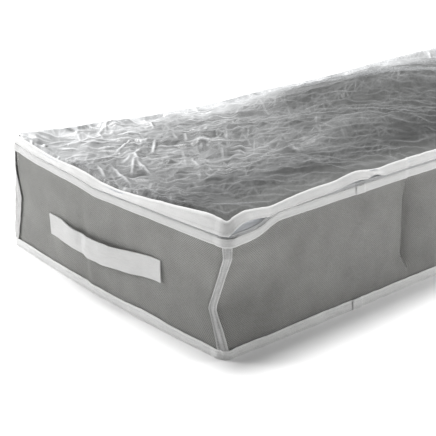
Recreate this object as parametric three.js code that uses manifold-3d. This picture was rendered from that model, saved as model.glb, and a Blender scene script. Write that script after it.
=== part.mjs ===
// Under-bed storage box of soft fabric, in millimetres, +Z up.
// Four grey non-woven walls and a base are joined by seams bound in white tape. A clear film lid opens
// on a zip round the front and both ends, and is sewn to the back wall. Each end wall has a strap handle.
// X runs along the length, the front is at -Y, and the origin is the centre of the underside of the base.
import * as THREE from "three";
import { mergeVertices } from "three/addons/utils/BufferGeometryUtils.js";
import Module from "manifold-3d";

const wasm = await Module();
wasm.setup();

// Driving dimensions. "Out" is a distance outwards from the outer face of the walls, negative inwards.
const LENGTH = 1050; // over the end walls
const WIDTH = 450; // over the front and back walls
const FABRIC = 1.6; // a wall with its lining
const GAP = 0.3; // between pieces that touch
const TAPE = 1.5; // a folded layer of binding tape
const TAPE_WIDTH = 12;
const WALL_TOP = 159.3;
const PARTING_Z = 164.5; // the lid is above this plane, and the box below it
const LID_TOP_Z = 174.8;
const LID_BACK_Z = 167.9; // the lid's top at the back, where there is no zip
const LID_SLOPE_LENGTH = 60; // how far before the back the lid starts to come down
const CROWN = 40; // how far the film rises over its seams

const HALF_LENGTH = LENGTH / 2;
const HALF_WIDTH = WIDTH / 2;

const fabricGrey = standard(0x8e8d8a, 0.92);
const tapeWhite = standard(0xe6e6e4, 0.85);
const zipWhite = standard(0xeceded, 0.75);
const film = new THREE.MeshStandardMaterial({
  color: 0xe9ecee,
  roughness: 0.12,
  transparent: true,
  opacity: 0.3,
});
const enamel = standard(0xf0f0f0, 0.4);

function standard(color, roughness) {
  return new THREE.MeshStandardMaterial({ color, roughness, metalness: 0 });
}

// ---- solids -------------------------------------------------------------------------------------

function solidOf(geometry) {
  const bare = geometry.clone();
  bare.deleteAttribute("normal");
  bare.deleteAttribute("uv");
  const merged = mergeVertices(bare, 1e-4);
  const index = merged.index;
  return new wasm.Manifold(
    new wasm.Mesh({
      numProp: 3,
      vertProperties: new Float32Array(merged.attributes.position.array),
      triVerts: new Uint32Array(index.array),
    }),
  );
}

function block(x0, x1, y0, y1, z0, z1) {
  const box = new THREE.BoxGeometry(x1 - x0, y1 - y0, z1 - z0);
  box.translate((x0 + x1) / 2, (y0 + y1) / 2, (z0 + z1) / 2);
  return solidOf(box);
}

function extrude(shape, depth) {
  return new THREE.ExtrudeGeometry(shape, { depth, bevelEnabled: false, curveSegments: 5 });
}

// The box's outline in plan, moved outwards and with round corners.
function outline(out, radius, Path = THREE.Shape) {
  const x = HALF_LENGTH + out;
  const y = HALF_WIDTH + out;
  const path = new Path();
  path.moveTo(-x + radius, -y);
  path.lineTo(x - radius, -y);
  path.absarc(x - radius, -y + radius, radius, -Math.PI / 2, 0, false);
  path.absarc(x - radius, y - radius, radius, 0, Math.PI / 2, false);
  path.absarc(-x + radius, y - radius, radius, Math.PI / 2, Math.PI, false);
  path.absarc(-x + radius, -y + radius, radius, Math.PI, 1.5 * Math.PI, false);
  return path;
}

// A closed band that follows the walls, from z0 to z1, with its inner and outer face at those distances out.
function band(innerOut, outerOut, outerRadius, z0, z1) {
  const shape = outline(outerOut, outerRadius);
  const innerRadius = Math.max(0.5, outerRadius - (outerOut - innerOut));
  shape.holes.push(outline(innerOut, innerRadius, THREE.Path));
  const geometry = extrude(shape, z1 - z0);
  geometry.translate(0, 0, z0);
  return solidOf(geometry);
}

// A shape drawn in the Y-Z plane, extruded along the whole length.
function alongLength(points) {
  const shape = new THREE.Shape(points.map(([y, z]) => new THREE.Vector2(y, z)));
  const depth = LENGTH + 40;
  const geometry = extrude(shape, depth);
  const toRow = new THREE.Matrix4().makeBasis(
    new THREE.Vector3(0, 1, 0),
    new THREE.Vector3(0, 0, 1),
    new THREE.Vector3(1, 0, 0),
  );
  geometry.applyMatrix4(toRow);
  geometry.translate(-depth / 2, 0, 0);
  return solidOf(geometry);
}

const root = new THREE.Group();

function add(name, solid, material) {
  const made = solid.getMesh();
  const geometry = new THREE.BufferGeometry();
  geometry.setAttribute("position", new THREE.BufferAttribute(made.vertProperties, 3));
  geometry.setIndex(new THREE.BufferAttribute(made.triVerts, 1));
  geometry.computeVertexNormals();
  const mesh = new THREE.Mesh(geometry, material);
  mesh.name = name;
  root.add(mesh);
}

// ---- base and walls -----------------------------------------------------------------------------

const WALL_FOOT = FABRIC + GAP;

function addPanels() {
  add("bottom_panel", block(-HALF_LENGTH, HALF_LENGTH, -HALF_WIDTH, HALF_WIDTH, 0, FABRIC), fabricGrey);
  for (const [name, side] of [["front", -1], ["back", 1]]) {
    const faces = [side * HALF_WIDTH, side * (HALF_WIDTH - FABRIC)].sort((a, b) => a - b);
    add(`${name}_panel`, block(-HALF_LENGTH, HALF_LENGTH, ...faces, WALL_FOOT, WALL_TOP), fabricGrey);
  }
  const endHalf = HALF_WIDTH - FABRIC - GAP;
  for (const [name, side] of [["left", -1], ["right", 1]]) {
    const faces = [side * HALF_LENGTH, side * (HALF_LENGTH - FABRIC)].sort((a, b) => a - b);
    add(`${name}_end_panel`, block(...faces, -endHalf, endHalf, WALL_FOOT, WALL_TOP), fabricGrey);
  }
}

// ---- seam bindings ------------------------------------------------------------------------------

const RIM_TOP = WALL_TOP + GAP + TAPE;
const RIM_FOOT = RIM_TOP - TAPE_WIDTH;

// The tape is folded up the outside of the walls from the base seam.
function addBottomBinding() {
  add("bottom_binding", band(GAP, GAP + TAPE, GAP + TAPE, 0, TAPE_WIDTH), tapeWhite);
}

// The tape is folded over the top edge of the walls, with one leg outside and one inside.
function addRimBinding() {
  const whole = band(-FABRIC - GAP - TAPE, GAP + TAPE, GAP + TAPE, RIM_FOOT, RIM_TOP);
  const edge = band(-FABRIC - GAP, GAP, GAP, RIM_FOOT - 1, WALL_TOP + GAP);
  add("rim_binding", whole.subtract(edge), tapeWhite);
}

// An angle of tape round each upright corner seam: the wider leg is on the long wall.
function addCornerBindings() {
  const endLeg = 8;
  const longLeg = 11;
  const z0 = TAPE_WIDTH + GAP;
  const z1 = RIM_FOOT - GAP;
  for (const [endName, sx] of [["left", -1], ["right", 1]]) {
    for (const [longName, sy] of [["front", -1], ["back", 1]]) {
      const angle = new THREE.Shape(
        [
          [longLeg, -GAP],
          [longLeg, -GAP - TAPE],
          [-GAP - TAPE, -GAP - TAPE],
          [-GAP - TAPE, endLeg],
          [-GAP, endLeg],
          [-GAP, -GAP],
        ].map(([x, y]) => new THREE.Vector2(sx * (HALF_LENGTH - x), sy * (HALF_WIDTH - y))),
      );
      const geometry = extrude(angle, z1 - z0);
      geometry.translate(0, 0, z0);
      add(`corner_binding_${longName}_${endName}`, solidOf(geometry), tapeWhite);
    }
  }
}

// ---- zip ----------------------------------------------------------------------------------------

const ZIP_OUT = -4; // the middle plane of the zip's tapes
const ZIP_TAPE = 0.9;
const COIL = 2.4; // thickness of the coil
const COIL_HEIGHT = 2;
const COIL_SPLIT = 1.6; // free height between the two coils, which the slider's bridge passes
const ZIP_RADIUS = 22; // in plan, at the front corners
const ZIP_END_Y = HALF_WIDTH - 30;
const LOWER_COIL_TOP = PARTING_Z - COIL_SPLIT / 2;
const UPPER_COIL_FOOT = PARTING_Z + COIL_SPLIT / 2;

// A band with its back stretch cut away, so that it runs round the front and the two ends.
function threeSides(solid) {
  const far = HALF_LENGTH + 20;
  return solid.subtract(block(-far, far, ZIP_END_Y, HALF_WIDTH + 20, 0, 2 * LID_TOP_Z));
}

function addZip() {
  const half = (thickness) => [ZIP_OUT - thickness / 2, ZIP_OUT + thickness / 2, ZIP_RADIUS];
  const lowerFoot = RIM_FOOT + 1;
  const lowerCoilFoot = LOWER_COIL_TOP - COIL_HEIGHT;
  const upperCoilTop = UPPER_COIL_FOOT + COIL_HEIGHT;
  const lower = band(...half(ZIP_TAPE), lowerFoot, lowerCoilFoot - 0.01);
  add("zip_tape_lower", threeSides(lower), zipWhite);
  const lowerCoil = band(...half(COIL), lowerCoilFoot + GAP - 0.01, LOWER_COIL_TOP);
  add("zip_coil_lower", threeSides(lowerCoil), zipWhite);
  const upperCoil = band(...half(COIL), UPPER_COIL_FOOT, upperCoilTop - GAP);
  add("zip_coil_upper", threeSides(upperCoil), zipWhite);
  const upper = band(...half(ZIP_TAPE), upperCoilTop, LID_TOP_Z - TAPE - GAP);
  add("zip_tape_upper", threeSides(upper.subtract(aboveLid(-TAPE - GAP))), zipWhite);
  // A folded tab closes each end of the zip, on the box's half.
  for (const [name, side] of [["left", -1], ["right", 1]]) {
    const xs = [side * (HALF_LENGTH - 2.4), side * (HALF_LENGTH - 5.6)].sort((a, b) => a - b);
    const tab = block(...xs, ZIP_END_Y + GAP, ZIP_END_Y + 14, RIM_TOP + GAP, PARTING_Z - GAP);
    add(`zip_end_tab_${name}`, tab, tapeWhite);
  }
}

// ---- lid ----------------------------------------------------------------------------------------

const LID_LEG = 12; // the tape's leg on the film
const LID_LIP_INNER = 0.5;
const LID_LIP_OUTER = 2;

// The lid's top line in the Y-Z plane: level, then down to the back.
function lidTop(y) {
  const t = (y - (HALF_WIDTH - LID_SLOPE_LENGTH)) / LID_SLOPE_LENGTH;
  return LID_TOP_Z + (LID_BACK_Z - LID_TOP_Z) * Math.min(1, Math.max(0, t));
}

// Everything over the lid's top line moved up by rise.
function aboveLid(rise) {
  const far = HALF_WIDTH + 20;
  const bend = HALF_WIDTH - LID_SLOPE_LENGTH;
  return alongLength([
    [-far, LID_TOP_Z + rise],
    [bend, LID_TOP_Z + rise],
    [HALF_WIDTH, LID_BACK_Z + rise],
    [far, LID_BACK_Z + rise],
    [far, 3 * LID_TOP_Z],
    [-far, 3 * LID_TOP_Z],
  ]);
}

// The lid's tape: a leg on the film and a lip that hangs in front of the zip.
function addLidBinding() {
  const foot = PARTING_Z + GAP;
  const lip = band(LID_LIP_INNER, LID_LIP_OUTER, LID_LIP_OUTER + 1, foot, LID_TOP_Z + 1);
  const leg = band(-LID_LEG, LID_LIP_OUTER, LID_LIP_OUTER + 1, foot, LID_TOP_Z + 1);
  const upper = leg.intersect(aboveLid(-TAPE));
  add("lid_binding", lip.add(upper).subtract(aboveLid(0)), tapeWhite);
}

function spaced(from, to, count) {
  return Array.from({ length: count + 1 }, (_, i) => from + ((to - from) * i) / count);
}

// The film is a shallow pillow whose edge lies flat under the tape.
function addLidWindow() {
  const thickness = 0.8;
  const sideIn = 5.2; // clear of the zip's upper tape
  const backIn = 0.8; // at the back the film reaches the hinge seam
  const flatIn = LID_LEG + 1;
  const halfX = HALF_LENGTH - flatIn;
  const halfY = HALF_WIDTH - flatIn;
  const bend = HALF_WIDTH - LID_SLOPE_LENGTH;
  const rows = [...spaced(-halfY, bend, 16), ...spaced(bend, halfY, 2).slice(1)];
  const xs = [sideIn - HALF_LENGTH, ...spaced(-halfX, halfX, 38), HALF_LENGTH - sideIn];
  const ys = [sideIn - HALF_WIDTH, ...rows, HALF_WIDTH - backIn];
  const sheet = new THREE.BoxGeometry(1, 1, thickness, xs.length - 1, ys.length - 1, 1);
  const position = sheet.attributes.position;
  for (let i = 0; i < position.count; i++) {
    const x = xs[Math.round((position.getX(i) + 0.5) * (xs.length - 1))];
    const y = ys[Math.round((position.getY(i) + 0.5) * (ys.length - 1))];
    const across = Math.max(0, 1 - (y / halfY) ** 2);
    const along = Math.max(0, 1 - (x / halfX) ** 4);
    const middle = lidTop(y) - TAPE - GAP - thickness / 2 + CROWN * across * along;
    position.setXYZ(i, x, y, position.getZ(i) + middle);
  }
  // Round front corners keep the film clear of the zip, and the square back reaches the hinge seam.
  const plan = extrude(outline(-sideIn, ZIP_RADIUS), 3 * LID_TOP_Z);
  const back = block(-HALF_LENGTH, HALF_LENGTH, 0, HALF_WIDTH, 0, 3 * LID_TOP_Z);
  add("lid_window", solidOf(sheet).intersect(solidOf(plan).add(back)), film);
}

// The strip that joins the lid to the back wall, up to the line on which the lid turns.
function addHingeStrip() {
  const long = HALF_LENGTH - 6;
  const y = HALF_WIDTH;
  add("hinge_strip", block(-long, long, y - FABRIC, y, RIM_TOP + GAP, PARTING_Z - GAP), tapeWhite);
}

// ---- sliders and pulls --------------------------------------------------------------------------

const SLIDER_LENGTH = 12;
const SLIDER_REST_X = 9; // of each slider's middle from the middle of the front
const PULL_AXIS_OUT = 2.8;
const PULL_AXIS_Z = PARTING_Z - 1.6;
const PULL_LENGTH = 30;

// A box given by its distances out from the front wall.
function frontBlock(x0, x1, outInner, outOuter, z0, z1) {
  return block(x0, x1, -HALF_WIDTH - outOuter, -HALF_WIDTH - outInner, z0, z1);
}

function rod(x, length, radius, sides) {
  const cylinder = new THREE.CylinderGeometry(radius, radius, length, sides);
  cylinder.rotateZ(Math.PI / 2);
  cylinder.translate(x, -HALF_WIDTH - PULL_AXIS_OUT, PULL_AXIS_Z);
  return solidOf(cylinder);
}

// Two plates with a bridge that runs between the coils, and a bail that carries the pull.
function addSlider(name, x) {
  const plate = 1.1;
  const channel = COIL + 1.2;
  const innerFace = ZIP_OUT - channel / 2;
  const outerFace = ZIP_OUT + channel / 2;
  const half = SLIDER_LENGTH / 2;
  const z0 = RIM_TOP + 0.4;
  const z1 = UPPER_COIL_FOOT + COIL_HEIGHT + 0.6;
  const postFoot = z0 + 0.3;
  const postTop = PARTING_Z - GAP;
  const bridgeFoot = PARTING_Z - 0.5;
  let slider = frontBlock(x - half, x + half, innerFace - plate, innerFace, z0, z1)
    .add(frontBlock(x - half, x + half, outerFace, outerFace + plate, z0, z1))
    .add(frontBlock(x - 2, x + 2, innerFace - plate / 2, outerFace + plate / 2, bridgeFoot, bridgeFoot + 1));
  for (const side of [-1, 1]) {
    const xs = [x + side * 3.6, x + side * 5].sort((a, b) => a - b);
    slider = slider.add(frontBlock(...xs, outerFace + plate / 2, PULL_AXIS_OUT + 0.7, postFoot, postTop));
  }
  add(`zip_slider_${name}`, slider.add(rod(x, 9, 0.6, 10)), enamel);
}

// A flat tab with a knuckle round the bail's bar, hanging in front of the rim.
function addPull(name, x) {
  const width = 6.2;
  const plateInner = PULL_AXIS_OUT - 0.5;
  const plateOuter = PULL_AXIS_OUT + 0.6;
  const foot = PULL_AXIS_Z - PULL_LENGTH;
  const neck = frontBlock(x - 2, x + 2, plateInner, plateOuter, PULL_AXIS_Z - 9, PULL_AXIS_Z - 1);
  const tab = frontBlock(x - width / 2, x + width / 2, plateInner, plateOuter, foot, PULL_AXIS_Z - 8);
  const pull = neck.add(tab).add(rod(x, 6.4, 1.4, 12)).subtract(rod(x, 12, 0.85, 10));
  add(`zip_pull_${name}`, pull, enamel);
}

// ---- handles ------------------------------------------------------------------------------------

const HANDLE_Z = 72.5; // the strap's middle at its sewn ends
const HANDLE_WIDTH = 30;
const STRAP = 2;
const GRIP_HALF = 100;
const TAB_LENGTH = 20;
const HANDLE_BOW = 15; // how far the slack strap stands out at its middle
const HANDLE_DROOP = 9;

// A strap sewn flat at both ends, with a slack grip that bows outwards between them.
function addHandle(name, side) {
  const face = side * (HALF_LENGTH + GAP + STRAP / 2);
  const grip = new THREE.BoxGeometry(STRAP, 2 * GRIP_HALF, HANDLE_WIDTH, 1, 24, 1);
  const position = grip.attributes.position;
  for (let i = 0; i < position.count; i++) {
    const share = 1 - (position.getY(i) / GRIP_HALF) ** 2;
    const lift = share * share * (3 - 2 * share);
    position.setX(i, position.getX(i) + face + side * HANDLE_BOW * lift);
    position.setZ(i, position.getZ(i) + HANDLE_Z - HANDLE_DROOP * lift);
  }
  add(`${name}_handle_grip`, solidOf(grip), tapeWhite);
  for (const [endName, sy] of [["front", -1], ["back", 1]]) {
    const ys = [sy * (GRIP_HALF + GAP), sy * (GRIP_HALF + TAB_LENGTH)].sort((a, b) => a - b);
    const z = [HANDLE_Z - HANDLE_WIDTH / 2, HANDLE_Z + HANDLE_WIDTH / 2];
    add(`${name}_handle_tab_${endName}`, block(face - STRAP / 2, face + STRAP / 2, ...ys, ...z), tapeWhite);
  }
}

// -------------------------------------------------------------------------------------------------

addPanels();
addBottomBinding();
addRimBinding();
addCornerBindings();
addZip();
addLidBinding();
addLidWindow();
addHingeStrip();
for (const [name, side] of [["left", -1], ["right", 1]]) {
  addSlider(name, side * SLIDER_REST_X);
  addPull(name, side * SLIDER_REST_X);
  addHandle(name, side);
}

export default root;
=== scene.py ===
import math

import bmesh
import bpy
import numpy as np
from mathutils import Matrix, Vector, noise
from mathutils.bvhtree import BVHTree
from mathutils.geometry import delaunay_2d_cdt


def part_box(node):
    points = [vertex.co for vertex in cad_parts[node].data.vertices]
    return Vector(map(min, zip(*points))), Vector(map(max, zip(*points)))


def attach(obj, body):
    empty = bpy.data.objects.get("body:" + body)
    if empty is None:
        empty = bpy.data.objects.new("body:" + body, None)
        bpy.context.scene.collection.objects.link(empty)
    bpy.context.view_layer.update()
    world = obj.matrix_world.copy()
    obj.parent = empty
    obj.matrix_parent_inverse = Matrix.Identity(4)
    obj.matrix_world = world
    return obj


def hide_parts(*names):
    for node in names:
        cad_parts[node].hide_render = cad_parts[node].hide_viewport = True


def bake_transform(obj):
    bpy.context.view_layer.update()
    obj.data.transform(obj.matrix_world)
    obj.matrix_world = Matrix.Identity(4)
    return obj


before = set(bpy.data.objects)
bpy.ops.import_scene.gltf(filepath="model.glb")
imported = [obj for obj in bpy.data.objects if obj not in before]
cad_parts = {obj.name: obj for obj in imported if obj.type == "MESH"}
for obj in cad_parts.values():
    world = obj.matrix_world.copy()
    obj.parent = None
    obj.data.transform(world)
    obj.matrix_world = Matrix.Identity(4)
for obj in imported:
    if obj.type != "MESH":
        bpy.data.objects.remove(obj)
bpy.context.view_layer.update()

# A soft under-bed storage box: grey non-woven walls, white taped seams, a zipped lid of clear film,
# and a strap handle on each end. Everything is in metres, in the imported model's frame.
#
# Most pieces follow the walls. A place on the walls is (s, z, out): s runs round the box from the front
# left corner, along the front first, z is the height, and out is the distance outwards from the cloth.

# ---- sizes from the frame ----

HALF_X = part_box("front_panel")[1][0]
HALF_Y = -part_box("front_panel")[0][1]
SIDE_LENGTHS = [2 * HALF_X, 2 * HALF_Y, 2 * HALF_X, 2 * HALF_Y]  # front, right, back, left
CORNERS = np.cumsum([0] + SIDE_LENGTHS)
AROUND = CORNERS[-1]
ZIP_END_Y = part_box("zip_tape_lower")[1][1]
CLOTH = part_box("bottom_panel")[1][2]
TAPE = 0.0021  # thickness of a folded binding
BASE_BINDING = 0.0118  # widths of the bindings
RIM_BINDING = 0.0102
LID_BINDING = 0.0096
LID_BINDING_ENDS = 0.0210
CORNER_RADIUS = 0.011
JOIN_LAP = 0.016  # how far a binding's two ends lap over each other, and how much thicker it is there
JOIN_RISE = 0.0008
STEP = 0.0035  # from one ring of a binding or a zip tape to the next
FILM_SEGMENTS = (120, 52)
SIMULATED_FRAMES = 36
FILM_CLOTH = {
    "quality": 7,
    "mass": 0.15,
    "tension_stiffness": 60,
    "compression_stiffness": 60,
    "shear_stiffness": 30,
    "bending_stiffness": 0.06,
    "tension_damping": 8,
    "compression_damping": 8,
    "shrink_min": -0.016,  # negative, so the film grows a little larger than its frame
}
CREASE_WIDTH = 0.0026  # how wide the painted highlight along a crease in the film is, to each side
STRAIGHT_CREASES = 420  # how many short creases the film has, and the share of them kept near its left end
CREASES_NEAR_LEFT_END = 0.45
# The film's flat facets, large and small: their angle, size, how much longer than wide they are, and a seed.
WIDE_FACETS = (-0.08, 0.028, 2.4, 61)
SMALL_FACETS = (0.55, 0.0125, 1.9, 63)
WIDE_HEIGHT = 0.0024  # how high the facets and the creases stand
SMALL_HEIGHT = 0.0012
CREASE_HEIGHT = 0.0022
FREE_CELLS = 12  # how many cells from its edge the film is free to fold
# How much of the film's look is glossy white vinyl rather than clear, where each of these is at its
# strongest: its haze with painted sheen, painted highlight streaks, the painted highlight along its creases
# with the painted shade beside them, its fresnel reflection, and a little everywhere.
FILM_WHITENING = {"haze_and_sheen": 0.78, "highlight_streaks": 0.12, "creases": 0.66, "fresnel": 0.30, "everywhere": 0.02}
NONWOVEN_PITCH = 0.0028  # from one row of welded dents in the cloth to the next
WALL_THICKNESS = 0.0012
ZIP_TAPE_THICKNESS = 0.0005
STRAP_THICKNESS = 0.0016
STRAP_BOW = 0.32  # the strap's bow and droop, as shares of the frame's, and how much lower its back end is
STRAP_DROOP = 0.75
STRAP_TILT = 0.0055
JOIN_ON_BASE = 0.205  # where each binding's ends lap over each other
JOIN_ON_RIM = 0.203
CORNER_GAPE_END = 0.075  # the zip gapes from the front left corner to here, and again just past the joins
JOIN_GAPE = 0.236
PLEAT = 0.292  # where the pleat in the front wall is, and the fine grid that shapes it
PLEAT_GRID = (0.282, 0.322, 80)
COIL_PITCH = 0.0017  # the zip's coil: one loop in each pitch, and how far outwards its middle is
COIL_SIDES = 8
COIL_OUT = 0.0003
COIL_LEVELS = ((-1, 0.45), (-0.5, 0.95), (0.5, 0.95), (1, 0.45))  # each ring of a loop: how far out, how big


# ---- lines round the box ----

def loop_line(points, blur):
    """A height or width that changes round the box, from a few (s, value) points, with its bends rounded."""
    step = 0.001
    count = int(round(AROUND / step))
    s = np.arange(count) * step
    keys, values = zip(*sorted((key % AROUND, value) for key, value in points))
    line = np.interp(s, keys, values, period=AROUND)
    reach = int(3 * blur / step)
    weights = np.exp(-0.5 * (np.arange(-reach, reach + 1) * step / blur) ** 2)
    padded = np.concatenate([line[-reach:], line, line[:reach]])
    line = np.convolve(padded, weights / weights.sum(), mode="valid")
    return lambda at: np.interp(np.asarray(at) % AROUND, s, line, period=AROUND)


RIGHT, BACK, LEFT = CORNERS[1], CORNERS[2], CORNERS[3]

# The foot of the rim binding. It droops at the front left corner, where the zip gapes, and along the back.
rim_foot = loop_line(
    [(-0.03, 0.1388), (0.0, 0.1384), (0.034, 0.1392), (0.05, 0.142), (0.06, 0.147), (0.075, 0.152)]
    + [(0.2, 0.1522), (RIGHT - 0.09, 0.152), (RIGHT - 0.03, 0.147), (RIGHT, 0.145)]
    + [(RIGHT + 0.15, 0.143), (RIGHT + 0.3, 0.146), (BACK, 0.147), (BACK + 0.12, 0.140)]
    + [(BACK + 0.4, 0.127), (BACK + 0.7, 0.121), (LEFT - 0.2, 0.129), (LEFT - 0.08, 0.140)]
    + [(LEFT, 0.1455), (LEFT + 0.07, 0.1425), (LEFT + 0.17, 0.1412), (LEFT + 0.205, 0.1385)]
    + [(LEFT + 0.217, 0.1365), (LEFT + 0.25, 0.1378), (LEFT + 0.32, 0.1392)],
    0.006,
)
# The top of the lid binding.
lid_top = loop_line(
    [(-0.03, 0.1700), (-0.012, 0.1690), (0.0, 0.1655), (0.012, 0.1700), (0.03, 0.1738), (0.05, 0.1715)]
    + [(0.068, 0.1690), (0.11, 0.1735), (0.17, 0.1752), (0.206, 0.1795), (0.228, 0.1765)]
    + [(0.247, 0.1738), (0.268, 0.1752)]
    + [(RIGHT - 0.09, 0.1748), (RIGHT - 0.03, 0.172), (RIGHT, 0.168), (RIGHT + 0.15, 0.163)]
    + [(RIGHT + 0.3, 0.1655), (BACK, 0.167), (BACK + 0.12, 0.160), (BACK + 0.4, 0.147)]
    + [(BACK + 0.7, 0.141), (LEFT - 0.2, 0.149), (LEFT - 0.08, 0.160), (LEFT, 0.1655)]
    + [(LEFT + 0.07, 0.1620), (LEFT + 0.13, 0.1600), (LEFT + 0.165, 0.1620), (LEFT + 0.2, 0.1605)]
    + [(LEFT + 0.225, 0.1572), (LEFT + 0.26, 0.1568), (LEFT + 0.3, 0.1590), (LEFT + 0.34, 0.1635)],
    0.005,
)
# The width of the base binding, which is sewn on unevenly.
base_width = loop_line(
    [(0.02, 0.0108), (0.12, 0.0128), (0.3, 0.0134), (0.6, 0.0126), (RIGHT, 0.0118), (BACK, 0.0122)]
    + [(LEFT, 0.0122), (LEFT + 0.16, 0.0130), (LEFT + 0.25, 0.0116), (LEFT + 0.29, 0.0136)]
    + [(LEFT + 0.33, 0.0150), (LEFT + 0.39, 0.0110), (LEFT + 0.43, 0.0105)],
    0.010,
)
# The lid binding is narrow along the front and the back, and covers more of the zip's tape on the ends.
lid_binding_width = loop_line(
    [(-0.012, LID_BINDING_ENDS), (0.016, LID_BINDING), (RIGHT - 0.016, LID_BINDING)]
    + [(RIGHT + 0.012, LID_BINDING_ENDS), (BACK - 0.03, LID_BINDING_ENDS), (BACK, LID_BINDING)]
    + [(LEFT, LID_BINDING), (LEFT + 0.03, LID_BINDING_ENDS)],
    0.004,
)
# The least height of the zip between the rim and the lid bindings.
zip_gap = loop_line(
    [(-0.012, 0.0028), (0.03, 0.0008), (0.212, 0.0008), (JOIN_GAPE, 0.0085), (0.262, 0.0008)]
    + [(RIGHT - 0.03, 0.0008), (RIGHT + 0.012, 0.0028), (BACK - 0.03, 0.0016), (BACK, 0.0008)]
    + [(LEFT, 0.0008), (LEFT + 0.03, 0.0012), (LEFT + 0.25, 0.0016)],
    0.004,
)


def rim_top(s):
    return rim_foot(s) + RIM_BINDING


def lid_foot(s):
    return np.maximum(lid_top(s) - lid_binding_width(s), rim_top(s) + zip_gap(s))


def coil_height(s):
    """The zip's coil lies just over the rim, and nearer the rim than the lid where the zip gapes."""
    return rim_top(s) + np.minimum((lid_foot(s) - rim_top(s)) / 2, 0.0022)


# How far each corner seam is pushed from its upright: (height, x, y) at each bend of the seam.
CORNER_SEAMS = [
    [(0.0, 0.0, 0.004), (0.012, 0.0, 0.007), (0.056, 0.0, 0.025), (0.062, 0.0, 0.0235)]
    + [(0.125, 0.0, -0.002), (0.17, 0.0, 0.0)],
    [(0.0, 0.001, -0.001), (0.05, -0.008, 0.009), (0.09, -0.012, 0.012), (0.15, -0.001, 0.001)],
    [(0.0, 0.002, 0.002), (0.04, -0.004, -0.006), (0.08, -0.010, -0.012), (0.15, 0.0, 0.0)],
    [(0.0, 0.0, 0.011), (0.07, 0.0, 0.001), (0.105, 0.0, -0.004), (0.17, 0.0, -0.004)],
]
# How wide each corner's tape is, and how far it is turned round its corner, in widths, towards a larger s.
CORNER_TAPE_WIDTHS = [
    [(0.0, 0.0140), (0.05, 0.0092), (0.062, 0.0086), (0.12, 0.0098), (0.14, 0.0125)],
    [(0.0, 0.0135), (0.09, 0.0100), (0.14, 0.0130)],
    [(0.0, 0.0135), (0.08, 0.0110), (0.14, 0.0130)],
    [(0.0, 0.0150), (0.082, 0.0195), (0.10, 0.0165), (0.14, 0.0140)],
]
CORNER_TAPE_TURNS = [
    [(0.0, 0.0)],
    [(0.0, 0.1), (0.09, 0.4), (0.14, 0.1)],
    [(0.0, 0.0), (0.08, -0.35), (0.14, 0.0)],
    [(0.0, 0.25), (0.02, 0.65), (0.082, 0.85), (0.10, 0.50), (0.135, -0.2)],
]
CORNER_REACH = (0.075, 0.12)  # how far a seam's bend carries into the long and the end walls
# How far each wall stands out at its middle: at its foot and at its rim.
WALL_BOWS = [(0.003, -0.0015), (0.009, 0.011), (0.003, -0.006), (0.0095, 0.012)]
# Soft upright creases in the walls: how far past the front left corner, and how deep.
UPRIGHT_CREASES = [(-0.262, 0.0020), (0.62, 0.0016), (0.86, -0.0014), (-0.9, 0.0015), (-1.25, -0.0015)]


def clamp(value):
    """The value kept from 0 to 1."""
    return np.clip(value, 0, 1)


def past_front_left(s):
    """How far s is past the front left corner. It is negative on the left end and half of the back."""
    return (s + AROUND / 2) % AROUND - AROUND / 2


def fractal(points, scale, octaves, seed):
    """Smooth noise in about -1 to 1 at each point, with features of that size."""
    origin = Vector((seed * 7.3, seed * 3.1, seed * 1.7))
    return np.array([noise.fractal(Vector(p) / scale + origin, 1.0, 2.0, octaves) for p in points])


def fractal_map(x, y, scale, octaves, seed):
    """The same noise over a grid or along a line."""
    points = np.stack([x.ravel(), y.ravel(), np.zeros(x.size)], axis=1)
    return fractal(points, scale, octaves, seed).reshape(x.shape)


def crease(across, width):
    """A soft ridge profile, 1 on its line."""
    return np.exp(-((across / width) ** 2))


def pleat_line(z):
    """Where the pleat runs on the front wall: upright, and turning right near its foot."""
    return PLEAT + 0.75 * np.clip(0.05 - z, 0, 0.03) + 0.20 * clamp(z - 0.125)


def pleat(past):
    """The pleat's fold outwards, at that distance past its line: a soft lip, and a valley behind it."""
    lip = 0.0022 * np.exp(-np.abs(past) / 0.016)
    valley = -0.023 * np.exp(-np.abs(past) / 0.026) - 0.004 * crease(past - 0.0015, 0.0022)
    return np.where(past < 0, lip, valley)


def wall_folds(s, z):
    """Soft dents and packing creases in the cloth, outwards."""
    folds = 0.0034 * fractal_map(s, z, 0.16, 2, 1) + 0.0013 * fractal_map(s * 1.6, z, 0.045, 3, 2)
    from_corner = past_front_left(s)
    diagonal = from_corner - 0.085 - 0.55 * (z - 0.09)
    folds = folds - 0.0012 * crease(diagonal, 0.012) + 0.0009 * crease(diagonal - 0.026, 0.012)
    for middle, depth in UPRIGHT_CREASES:
        past = from_corner - middle
        folds = folds - depth * crease(past, 0.009) + 0.6 * depth * crease(past - 0.015, 0.01)
    away_from_seams = np.minimum(z / 0.02, np.maximum(rim_foot(s) - z, 0) / 0.035)
    pleat_share = clamp((z - 0.024) / 0.02) * np.clip((rim_foot(s) - z) / 0.012, 0.06, 1)
    return folds * np.clip(away_from_seams, 0.12, 1) + pleat(from_corner - pleat_line(z)) * pleat_share


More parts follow.
